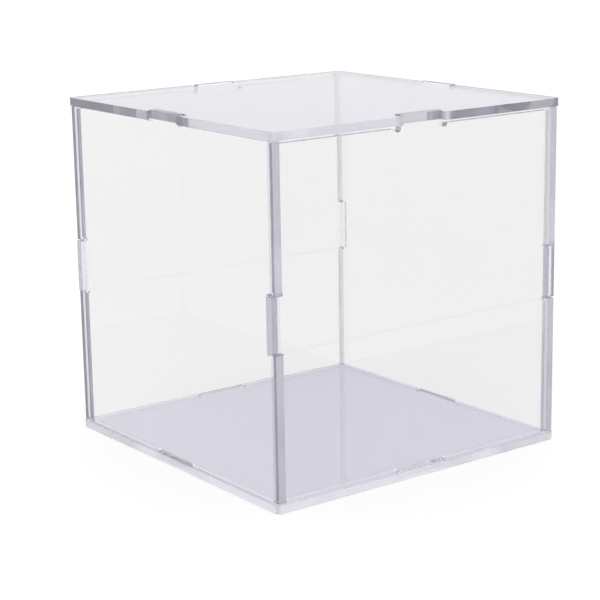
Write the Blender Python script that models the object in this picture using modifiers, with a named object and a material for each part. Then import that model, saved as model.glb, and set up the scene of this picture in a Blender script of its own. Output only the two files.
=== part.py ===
"""Clear acrylic display cube: six flat sheets that lock together by tabs and notches.

The front wall faces -Y and +Z is up. The origin is the middle of the base's underside.
Every sheet is drawn flat, in metres, and is then turned into its place.
"""

import math

import bmesh
import bpy
from mathutils import Vector

# Overall sizes
SIDE = 0.120
HEIGHT = 0.120
SHEET = 0.0028
FIT_GAP = 0.0003
EDGE_BREAK = 0.0001

# How the walls stand on the plates and against each other
OVERHANG = 0.0008
TOP_TAB_PROUD = 0.0004
SIDE_TAB_PROUD = 0.0008
FOOT_SHORT = 0.0003
FRONT_RECESS = 0.0008
FRONT_TOP_GAP = 0.0011
FRONT_SIDE_GAP = 0.0003

# Middle tabs, the notches that take them, and the corners of the plates
TOP_TAB = 0.017
BASE_TAB = 0.020
SIDE_TAB = 0.018
WIDE_RELIEF = 0.0012
SMALL_RELIEF = 0.0005
BASE_CORNER = 0.0022
TOP_CORNER = 0.0017

# Levels and distances that follow from them
TOP_PLATE_TOP = HEIGHT - TOP_TAB_PROUD
TOP_PLATE_UNDER = TOP_PLATE_TOP - SHEET
WALL_FOOT = SHEET + FIT_GAP
SIDE_FACE = SIDE / 2 - OVERHANG
FRONT_FACE = SIDE_FACE - FRONT_RECESS
SIDE_WALL_TOP = TOP_PLATE_UNDER - FIT_GAP
FRONT_WALL_TOP = TOP_PLATE_UNDER - FRONT_TOP_GAP
FRONT_HALF_WIDTH = SIDE_FACE - SHEET - FRONT_SIDE_GAP

ACRYLIC_TINT = (0.93, 0.93, 0.965, 1.0)
ACRYLIC_ROUGHNESS = 0.03
ACRYLIC_IOR = 1.49
ARC_STEP = math.radians(15)
WELD = 0.00001


def clear_scene():
    for obj in list(bpy.data.objects):
        bpy.data.objects.remove(obj, do_unlink=True)


def make_collection(name):
    collection = bpy.data.collections.new(name)
    bpy.context.scene.collection.children.link(collection)
    return collection


def acrylic(name):
    material = bpy.data.materials.new(name)
    material.use_nodes = True
    shader = material.node_tree.nodes["Principled BSDF"]
    shader.inputs["Base Color"].default_value = ACRYLIC_TINT
    shader.inputs["Metallic"].default_value = 0.0
    shader.inputs["Roughness"].default_value = ACRYLIC_ROUGHNESS
    shader.inputs["IOR"].default_value = ACRYLIC_IOR
    shader.inputs["Transmission Weight"].default_value = 1.0
    return material


# A side's feature is a list of points, each the distance along the side from its middle
# and the distance outwards from its line. The points run the way the outline runs.


def arc(along, out, radius, start, end):
    """Points on an arc about (along, out), from angle start to angle end."""
    steps = max(2, round(abs(end - start) / ARC_STEP))
    angles = [start + (end - start) * i / steps for i in range(steps + 1)]
    return [(along + radius * math.cos(a), out + radius * math.sin(a)) for a in angles]


def tab(width, reach, relief=SMALL_RELIEF):
    """A tab that stands out by reach, with a half-round relief beside both of its roots."""
    half = width / 2
    left_root = arc(-half - relief, 0.0, relief, math.pi, 2 * math.pi)
    right_root = arc(half + relief, 0.0, relief, math.pi, 2 * math.pi)
    return left_root + [(-half, reach), (half, reach)] + right_root


def notch(width, depth, mouth=0.0):
    """A notch from depth mouth in to depth, with a round relief in both inner corners."""
    half = width / 2
    left_corner = arc(-half, -depth, SMALL_RELIEF, math.pi / 2, 2 * math.pi)
    right_corner = arc(half, -depth, SMALL_RELIEF, math.pi, 2.5 * math.pi)
    return [(-half, -mouth)] + left_corner + right_corner + [(half, -mouth)]


def slide(feature, distance):
    """The same feature, moved along its side."""
    return [(along + distance, out) for along, out in feature]


def sheet_sides(low, high):
    """The four sides of a sheet, counter-clockwise from the lower one."""
    middle = (Vector(low) + Vector(high)) / 2
    half_x = (high[0] - low[0]) / 2
    half_y = (high[1] - low[1]) / 2
    sides = []
    for direction in [(1, 0), (0, 1), (-1, 0), (0, -1)]:
        along = Vector(direction)
        outward = Vector((along.y, -along.x))
        half_length, offset = (half_x, half_y) if along.x else (half_y, half_x)
        sides.append((middle + outward * offset, along, outward, half_length))
    return sides


def place(side, feature):
    """A feature's points on one side of a sheet."""
    origin, along, outward, _ = side
    return [origin + along * a + outward * b for a, b in feature]


def sheet_outline(low, high, features, corner=0.0):
    """A sheet's outline, with one feature for each side and round corners if asked for."""
    points = []
    for side, feature in zip(sheet_sides(low, high), features):
        origin, along, outward, half_length = side
        start = origin - along * half_length
        if corner:
            centre = start + along * corner - outward * corner
            turns = arc(0.0, 0.0, corner, 0.0, math.pi / 2)
            points += [centre - along * a + outward * b for a, b in turns]
        else:
            points.append(start)
        points += place(side, feature)
    return points


def cut_sheet(name, loops, parent, location, rotation, collection):
    """One sheet, drawn flat by its closed loops, cut out, and turned into place."""
    curve = bpy.data.curves.new(name + "_drawing", "CURVE")
    curve.dimensions = "2D"
    curve.fill_mode = "BOTH"
    curve.extrude = SHEET / 2
    for loop in loops:
        spline = curve.splines.new("POLY")
        spline.points.add(len(loop) - 1)
        for point, place_at in zip(spline.points, loop):
            point.co = (place_at.x, place_at.y, 0.0, 1.0)
        spline.use_cyclic_u = True
    drawing = bpy.data.objects.new(name + "_drawing", curve)
    collection.objects.link(drawing)
    depsgraph = bpy.context.evaluated_depsgraph_get()
    mesh = bpy.data.meshes.new_from_object(drawing.evaluated_get(depsgraph))
    bpy.data.objects.remove(drawing, do_unlink=True)
    weld_caps(mesh)
    mesh.name = name
    sheet = bpy.data.objects.new(name, mesh)
    collection.objects.link(sheet)
    sheet.parent = parent
    sheet.location = location
    sheet.rotation_euler = rotation
    sheet.data.materials.clear()
    sheet.data.materials.append(acrylic(name + "_acrylic"))
    break_edges(sheet)
    return sheet


def weld_caps(mesh):
    """Joins the caps to the rim as one closed body with flat shading."""
    welded = bmesh.new()
    welded.from_mesh(mesh)
    bmesh.ops.remove_doubles(welded, verts=welded.verts, dist=WELD)
    bmesh.ops.recalc_face_normals(welded, faces=welded.faces)
    welded.to_mesh(mesh)
    welded.free()
    mesh.shade_flat()


def break_edges(sheet):
    """Takes the sharpness off the cut edges."""
    bevel = sheet.modifiers.new("edge_break", "BEVEL")
    bevel.width = EDGE_BREAK
    bevel.segments = 1
    bevel.limit_method = "ANGLE"
    bevel.angle_limit = math.radians(50)


def make_axis(name, height, parent, collection):
    """An empty on the upright line along which a body lifts off."""
    axis = bpy.data.objects.new(name, None)
    axis.empty_display_size = 0.01
    collection.objects.link(axis)
    axis.parent = parent
    axis.location = (0.0, 0.0, height)
    return axis


def make_base(collection):
    """The base plate: closed slots near its edges take the walls' lower tabs."""
    corner = (SIDE / 2, SIDE / 2)
    low = (-corner[0], -corner[1])
    loops = [sheet_outline(low, corner, [[]] * 4, BASE_CORNER)]
    faces = [FRONT_FACE, SIDE_FACE, FRONT_FACE, SIDE_FACE]
    for side, face in zip(sheet_sides(low, corner), faces):
        outer = SIDE / 2 - face
        slot = notch(BASE_TAB + 2 * FIT_GAP, outer + SHEET + FIT_GAP, outer - FIT_GAP)
        loops.append(place(side, slot))
    cut_sheet("base_panel", loops, None, (0, 0, SHEET / 2), (0, 0, 0), collection)


def make_top(parent, height, collection):
    """The lid plate: open notches in its edges take the walls' upper tabs."""
    corner = (SIDE / 2, SIDE / 2)
    low = (-corner[0], -corner[1])
    faces = [FRONT_FACE, SIDE_FACE, FRONT_FACE, SIDE_FACE]
    notches = [notch(TOP_TAB + 2 * FIT_GAP, SIDE / 2 - face + SHEET + FIT_GAP) for face in faces]
    loops = [sheet_outline(low, corner, notches, TOP_CORNER)]
    middle = TOP_PLATE_TOP - SHEET / 2 - height
    cut_sheet("top_panel", loops, parent, (0, 0, middle), (0, 0, 0), collection)


def front_wall_loops(lift):
    """The front and back walls: a tab in the middle of each side."""
    low = (-FRONT_HALF_WIDTH, WALL_FOOT - lift)
    high = (FRONT_HALF_WIDTH, FRONT_WALL_TOP - lift)
    lower_tab = tab(BASE_TAB, WALL_FOOT - FOOT_SHORT)
    upper_tab = tab(TOP_TAB, HEIGHT - FRONT_WALL_TOP, WIDE_RELIEF)
    side_tab = tab(SIDE_TAB, SIDE_FACE - FRONT_HALF_WIDTH + SIDE_TAB_PROUD)
    rise = HEIGHT / 2 - (WALL_FOOT + FRONT_WALL_TOP) / 2
    features = [lower_tab, slide(side_tab, rise), upper_tab, slide(side_tab, -rise)]
    return [sheet_outline(low, high, features)]


def side_wall_loops(lift):
    """The left and right walls: tabs above and below, and a notch in each upright edge."""
    low = (-SIDE_FACE, WALL_FOOT - lift)
    high = (SIDE_FACE, SIDE_WALL_TOP - lift)
    lower_tab = tab(BASE_TAB, WALL_FOOT - FOOT_SHORT)
    upper_tab = tab(TOP_TAB, HEIGHT - SIDE_WALL_TOP)
    side_notch = notch(SIDE_TAB + 2 * FIT_GAP, FRONT_RECESS + SHEET + FIT_GAP)
    rise = HEIGHT / 2 - (WALL_FOOT + SIDE_WALL_TOP) / 2
    features = [lower_tab, slide(side_notch, rise), upper_tab, slide(side_notch, -rise)]
    return [sheet_outline(low, high, features)]


def make_walls(parent, height, collection):
    upright = math.pi / 2
    front = FRONT_FACE - SHEET / 2
    side = SIDE_FACE - SHEET / 2
    walls = [
        ("front_wall", front_wall_loops, (0, -front, 0), 0.0),
        ("back_wall", front_wall_loops, (0, front, 0), math.pi),
        ("left_wall", side_wall_loops, (-side, 0, 0), -math.pi / 2),
        ("right_wall", side_wall_loops, (side, 0, 0), math.pi / 2),
    ]
    for name, loops, location, turn in walls:
        cut_sheet(name, loops(height), parent, location, (upright, 0, turn), collection)


def main():
    clear_scene()
    collection = make_collection("acrylic_display_cube")
    walls_axis = make_axis("walls_lift_axis", WALL_FOOT, None, collection)
    top_axis = make_axis("top_lift_axis", TOP_PLATE_UNDER - WALL_FOOT, walls_axis, collection)
    make_base(collection)
    make_walls(walls_axis, WALL_FOOT, collection)
    make_top(top_axis, TOP_PLATE_UNDER, collection)


main()
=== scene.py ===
"""Looks of the clear acrylic display cube: its sheets' acrylic, a pale studio and a camera."""

import math

import bpy
from mathutils import Matrix, Vector


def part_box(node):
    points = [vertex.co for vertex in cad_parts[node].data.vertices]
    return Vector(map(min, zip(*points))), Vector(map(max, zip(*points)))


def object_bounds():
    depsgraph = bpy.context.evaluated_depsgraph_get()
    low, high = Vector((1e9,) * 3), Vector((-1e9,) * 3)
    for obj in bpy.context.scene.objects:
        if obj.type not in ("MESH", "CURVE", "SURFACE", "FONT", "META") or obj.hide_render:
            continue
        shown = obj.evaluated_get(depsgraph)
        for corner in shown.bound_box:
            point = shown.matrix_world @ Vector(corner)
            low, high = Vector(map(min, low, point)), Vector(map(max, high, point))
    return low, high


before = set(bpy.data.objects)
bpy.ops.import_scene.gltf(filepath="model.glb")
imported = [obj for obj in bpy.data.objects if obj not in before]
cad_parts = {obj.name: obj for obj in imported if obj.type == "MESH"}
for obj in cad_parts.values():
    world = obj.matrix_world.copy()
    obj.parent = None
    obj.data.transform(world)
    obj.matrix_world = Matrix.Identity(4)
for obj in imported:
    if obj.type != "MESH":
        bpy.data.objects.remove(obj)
CAD_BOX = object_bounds()

# Camera: where it stands, which way it looks and how far it is rolled
CAMERA_AT = Vector((-0.3610, -0.4756, 0.1921))
CAMERA_YAW = math.radians(36.78)
CAMERA_PITCH = math.radians(-13.52)
CAMERA_ROLL = math.radians(-0.97)
CAMERA_LENS_MM = 105.0
CAMERA_SENSOR_MM = 36.0
CAMERA_CLIP_START = 0.01

# Acrylic: the tints of each kind of sheet and of its cut edges, with painted light and painted shade on
# the lid's edges, painted shade at the walls' ends and painted light at their feet
ACRYLIC_IOR = 1.49
LID_TINT = (0.914, 0.907, 0.941)
# The lid's cut edges: painted light along most of them, painted shade near two opposite corners
LID_EDGE_PAINTED_LIGHT = (0.830, 0.820, 0.880)
LID_EDGE_PAINTED_SHADE = (0.310, 0.300, 0.350)
BASE_TINT = (0.793, 0.775, 0.902)
BASE_EDGE = (0.970, 0.960, 1.000)
WALL_TINT = (0.895, 0.895, 0.895)
# Lighter near the walls' feet: painted light
WALL_FOOT_PAINTED_LIGHT = (0.932, 0.932, 0.932)
WALL_EDGE = (0.920, 0.910, 0.955)
# Darker at the walls' ends, on the cut ends and the strip of face beside them: painted shade at the
# corner posts
SIDE_WALL_END_PAINTED_SHADE = (0.630, 0.615, 0.690)
FRONT_WALL_END_PAINTED_SHADE = (0.770, 0.755, 0.820)
FRONT_WALL_END_EDGE_PAINTED_SHADE = (0.740, 0.725, 0.790)

# Surfaces: polished faces with smudges, and cut edges with fine lines that frost the outer ones
FACE_ROUGHNESS = 0.012
SMUDGE_ROUGHNESS = 0.03
SMUDGE_SCALE = 45.0
SMUDGE_DETAIL = 4.0
SMUDGE_RANGE = (0.45, 0.75)
EDGE_ROUGHNESS = 0.15
LINE_ROUGHNESS = 0.10
LINE_SCALE = 2200.0
LINE_DETAIL = 3.0
LINE_STRETCH = 0.96
LINE_BUMP = 0.35
LINE_DEPTH = 0.0001
OUTER_CLEARNESS = 0.6

# Where the looks change: by the way a surface faces, along the lid's edges, at a plate's rim
# and at a wall's ends and foot
EDGE_TO_FACE = (0.25, 0.75)
# How far the painted shade on the lid's edges reaches from two opposite corners, and the patches of
# painted light within it
LID_PAINTED_SHADE_REACH = (0.0495, 0.076)
LID_SIDE_START = 0.051
LID_PATCH_SCALE = 90.0
LID_PATCH_DETAIL = 0.0
LID_PATCH_RANGE = (0.55, 0.61)
LID_PATCH_PAINTED_LIGHT = 0.4
PLATE_RIM = 0.0591
UPRIGHT_START = 0.0555
WALL_END = 0.0566
WALL_FOOT_REACH = 0.060
SHARP_BLEND = 0.0002
SOFT_BLEND = 0.001

# Studio
FLOOR_TINT = (0.24, 0.24, 0.24)
FLOOR_LIGHT = (1.00, 1.00, 1.00)
FLOOR_GLOW = 0.78
FLOOR_SIZE = 8.0
FLOOR_DROP = 0.0002
FLOOR_ROUGHNESS = 0.7
FLOOR_SHINE = 0.2
HORIZON_LIGHT = (1.00, 1.00, 1.00)
LOW_LIGHT = (0.78, 0.77, 0.82)
ZENITH_LIGHT = (1.15, 1.15, 1.15)
LOW_RISE = (0.02, 0.16)
ZENITH_RISE = (0.20, 0.70)
BOUNCES = 96


def thin_axis(node):
    """The axis across a sheet, as a unit vector."""
    low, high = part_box(node)
    sizes = high - low
    thinnest = min(range(3), key=lambda i: sizes[i])
    return Vector([1.0 if i == thinnest else 0.0 for i in range(3)])


class Nodes:
    """Adds shader nodes to a material or world and links them."""

    def __init__(self, owner):
        owner.use_nodes = True
        self.tree = owner.node_tree

    def add(self, kind, inputs=(), **settings):
        node = self.tree.nodes.new(kind)
        for key, value in settings.items():
            setattr(node, key, value)
        for socket, value in dict(inputs).items():
            self.feed(node.inputs[socket], value)
        return node

    def feed(self, socket, value):
        """Links a socket to another one's output, or gives it a plain value."""
        if isinstance(value, bpy.types.NodeSocket):
            self.tree.links.new(value, socket)
        elif socket.type == "RGBA":
            socket.default_value = (*value, 1.0)
        else:
            socket.default_value = value

    def math(self, operation, *values):
        return self.add("ShaderNodeMath", enumerate(values), operation=operation).outputs[0]

    def vector_math(self, operation, *values, output="Vector"):
        node = self.add("ShaderNodeVectorMath", enumerate(values), operation=operation)
        return node.outputs[output]

    def split(self, vector):
        return self.add("ShaderNodeSeparateXYZ", {0: vector}).outputs

    def step(self, value, low, high, to_low=0.0, to_high=1.0):
        """A smooth change from to_low, where the value is at low, to to_high at high."""
        inputs = {"Value": value, "From Min": low, "From Max": high, "To Min": to_low, "To Max": to_high}
        return self.add("ShaderNodeMapRange", inputs, interpolation_type="SMOOTHSTEP").outputs["Result"]

    def noise(self, vector, scale, detail):
        inputs = {"Vector": vector, "Scale": scale, "Detail": detail}
        return self.add("ShaderNodeTexNoise", inputs).outputs["Fac"]

    def mix(self, factor, first, second):
        return self.add("ShaderNodeMix", {0: factor, 2: first, 3: second}).outputs[0]

    def mix_colour(self, factor, first, second):
        node = self.add("ShaderNodeMix", {0: factor, 6: first, 7: second}, data_type="RGBA")
        return node.outputs[2]


def outermost(nodes, place, across, start):
    """The outer band of a sheet: all round a plate, and up the two ends of a wall."""
    level = Vector((1.0 - across.x, 1.0 - across.y, 0.0))
    sides = nodes.split(nodes.vector_math("ABSOLUTE", nodes.vector_math("MULTIPLY", place, level)))
    furthest = nodes.math("MAXIMUM", sides["X"], sides["Y"])
    return nodes.step(furthest, start - SHARP_BLEND, start + SHARP_BLEND)


def lid_edge_painted_light(nodes, place):
    """Painted light along the lid's edges, but for the stretches up to two opposite corners, which get
    painted shade broken by a few patches of painted light.
    """
    sideways = nodes.math("ABSOLUTE", nodes.split(place)["X"])
    side = (LID_SIDE_START - SOFT_BLEND, LID_SIDE_START + SOFT_BLEND)
    reach = nodes.step(sideways, *side, *LID_PAINTED_SHADE_REACH)
    diagonal = nodes.vector_math("DOT_PRODUCT", place, (1.0, 1.0, 0.0), output="Value")
    past = nodes.math("SUBTRACT", nodes.math("ABSOLUTE", diagonal), reach)
    spots = nodes.noise(place, LID_PATCH_SCALE, LID_PATCH_DETAIL)
    patches = nodes.step(spots, *LID_PATCH_RANGE, 0.0, LID_PATCH_PAINTED_LIGHT)
    return nodes.math("MAXIMUM", nodes.step(past, -SOFT_BLEND, SOFT_BLEND), patches)


def sheet_colours(nodes, place, across, node):
    """The colours of a sheet's faces and of its cut edges, with their painted light and shade."""
    if node == "base_panel":
        return BASE_TINT, BASE_EDGE
    if node == "top_panel":
        # Painted light on the lid's edges, with painted shade near two opposite corners
        return LID_TINT, nodes.mix_colour(lid_edge_painted_light(nodes, place), LID_EDGE_PAINTED_SHADE, LID_EDGE_PAINTED_LIGHT)
    # Painted shade at the wall's ends, on its cut ends and the strip of face beside them
    end_painted_shade = SIDE_WALL_END_PAINTED_SHADE if across.x else FRONT_WALL_END_PAINTED_SHADE
    end_edge_painted_shade = SIDE_WALL_END_PAINTED_SHADE if across.x else FRONT_WALL_END_EDGE_PAINTED_SHADE
    # Painted light: the wall's face lighter towards its foot
    rise = nodes.step(nodes.split(place)["Z"], 0.0, WALL_FOOT_REACH)
    middle = nodes.mix_colour(rise, WALL_FOOT_PAINTED_LIGHT, WALL_TINT)
    face = nodes.mix_colour(outermost(nodes, place, across, WALL_END), middle, end_painted_shade)
    upright = outermost(nodes, place, across, UPRIGHT_START)
    return face, nodes.mix_colour(upright, WALL_EDGE, end_edge_painted_shade)


def make_rough(nodes, surface, place, across, edge, frosted):
    """Faint smudges on the faces, and fine lines from the cut on the edges."""
    # The lines run across the sheet, so their pattern is stretched that way
    stretch = Vector((1.0, 1.0, 1.0)) - across * LINE_STRETCH
    lines = nodes.noise(nodes.vector_math("MULTIPLY", place, stretch), LINE_SCALE, LINE_DETAIL)
    smudge = nodes.step(nodes.noise(place, SMUDGE_SCALE, SMUDGE_DETAIL), *SMUDGE_RANGE)
    face_rough = nodes.math("MULTIPLY_ADD", smudge, SMUDGE_ROUGHNESS, FACE_ROUGHNESS)
    edge_rough = nodes.math("MULTIPLY_ADD", lines, LINE_ROUGHNESS, EDGE_ROUGHNESS)
    # All the cut edges of a wall are rough, but only the outer ones of a plate
    rough_edge = frosted if across.z else edge
    nodes.feed(surface["Roughness"], nodes.mix(rough_edge, face_rough, edge_rough))
    height = nodes.math("MULTIPLY", lines, frosted)
    relief = {"Height": height, "Strength": LINE_BUMP, "Distance": LINE_DEPTH}
    nodes.feed(surface["Normal"], nodes.add("ShaderNodeBump", relief).outputs["Normal"])


def acrylic(node):
    """Gives a sheet its clear cast acrylic, tinted, with painted light and shade, and with frosted outer
    edges.
    """
    across = thin_axis(node)
    material = bpy.data.materials.new(node + "_acrylic_look")
    nodes = Nodes(material)
    surface = nodes.tree.nodes["Principled BSDF"].inputs
    surface["IOR"].default_value = ACRYLIC_IOR
    coordinates = nodes.add("ShaderNodeTexCoord").outputs
    place = coordinates["Object"]
    facing = nodes.vector_math("DOT_PRODUCT", coordinates["Normal"], across, output="Value")
    edge = nodes.step(nodes.math("ABSOLUTE", facing), *EDGE_TO_FACE, 1.0, 0.0)
    outer = outermost(nodes, place, across, PLATE_RIM if across.z else UPRIGHT_START)
    frosted = nodes.math("MULTIPLY", edge, outer)
    face_colour, edge_colour = sheet_colours(nodes, place, across, node)
    nodes.feed(surface["Base Color"], nodes.mix_colour(edge, face_colour, edge_colour))
    nodes.feed(surface["Transmission Weight"], nodes.step(frosted, 0.0, 1.0, 1.0, OUTER_CLEARNESS))
    make_rough(nodes, surface, place, across, edge, frosted)
    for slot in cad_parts[node].material_slots:
        slot.material = material


def make_floor():
    bpy.ops.mesh.primitive_plane_add(size=FLOOR_SIZE, location=(0, 0, CAD_BOX[0].z - FLOOR_DROP))
    floor = bpy.context.object
    floor.name = "studio_floor"
    material = bpy.data.materials.new("studio_floor")
    nodes = Nodes(material)
    surface = nodes.tree.nodes["Principled BSDF"].inputs
    nodes.feed(surface["Base Color"], FLOOR_TINT)
    nodes.feed(surface["Emission Color"], FLOOR_LIGHT)
    nodes.feed(surface["Emission Strength"], FLOOR_GLOW)
    nodes.feed(surface["Roughness"], FLOOR_ROUGHNESS)
    nodes.feed(surface["Specular IOR Level"], FLOOR_SHINE)
    floor.data.materials.append(material)


def make_light():
    """A white horizon, a pale grey sky that is brighter overhead, and enough bounces."""
    scene = bpy.context.scene
    scene.world = bpy.data.worlds.new("studio")
    nodes = Nodes(scene.world)
    direction = nodes.add("ShaderNodeTexCoord").outputs["Generated"]
    height = nodes.split(direction)["Z"]
    low_sky = nodes.mix_colour(nodes.step(height, *LOW_RISE), HORIZON_LIGHT, LOW_LIGHT)
    sky = nodes.mix_colour(nodes.step(height, *ZENITH_RISE), low_sky, ZENITH_LIGHT)
    nodes.feed(nodes.tree.nodes["Background"].inputs["Color"], sky)
    scene.view_settings.view_transform = "Standard"
    scene.cycles.max_bounces = BOUNCES
    scene.cycles.transmission_bounces = BOUNCES
    scene.cycles.glossy_bounces = BOUNCES


def make_camera():
    yaw, pitch = CAMERA_YAW, CAMERA_PITCH
    look = Vector((math.sin(yaw) * math.cos(pitch), math.cos(yaw) * math.cos(pitch), math.sin(pitch)))
    right = Vector((math.cos(yaw), -math.sin(yaw), 0.0))
    turn = Matrix((right, right.cross(look), -look)).transposed()
    turn = turn @ Matrix.Rotation(CAMERA_ROLL, 3, "Z")
    camera = bpy.data.objects.new("camera", bpy.data.cameras.new("camera"))
    bpy.context.scene.collection.objects.link(camera)
    camera.matrix_world = Matrix.Translation(CAMERA_AT) @ turn.to_4x4()
    camera.data.lens = CAMERA_LENS_MM
    camera.data.sensor_width = CAMERA_SENSOR_MM
    camera.data.clip_start = CAMERA_CLIP_START
    bpy.context.scene.camera = camera


make_camera()
make_light()
make_floor()
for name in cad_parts:
    acrylic(name)
